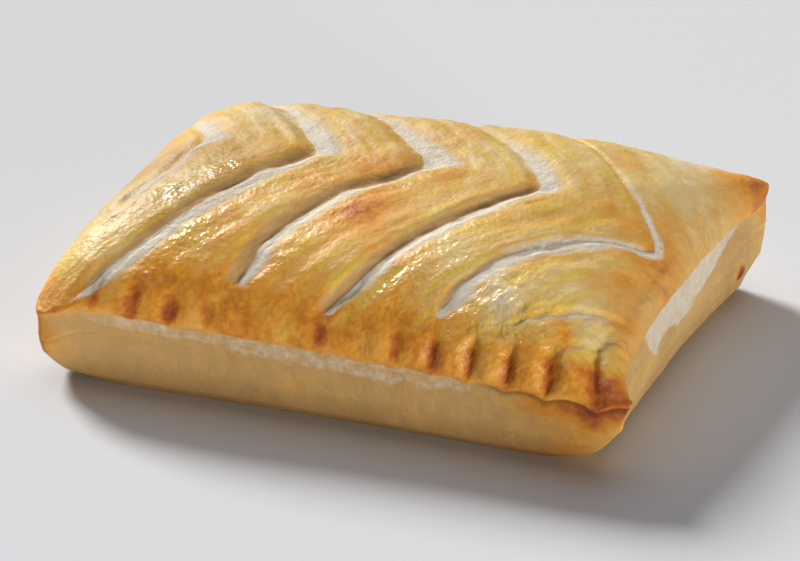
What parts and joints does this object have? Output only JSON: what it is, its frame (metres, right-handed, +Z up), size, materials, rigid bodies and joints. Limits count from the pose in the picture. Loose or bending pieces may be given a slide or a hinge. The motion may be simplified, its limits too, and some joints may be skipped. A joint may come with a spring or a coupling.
{
  "type": "cheese and onion bake",
  "caption": "Oblong puff-pastry parcel, baked shut, with a puffed egg-washed lid cut in chevron slashes, crimped long edges and a flat base to rest on.",
  "frame": {"origin": "centre of the bounding box, on the flat underside", "axes": "+X along the length, the way the chevron slashes point; -Y the crimped front; +Z up"},
  "size_m": [0.1436, 0.107, 0.0434],
  "materials": {
    "baked_pastry": "baked puff pastry: golden and egg-washed on the lid, floury and pale in the slashes and at the cut edge, dull golden on the base"
  },
  "bodies": {
    "root": {"pastry_bake": "baked_pastry"}
  },
  "joints": []
}
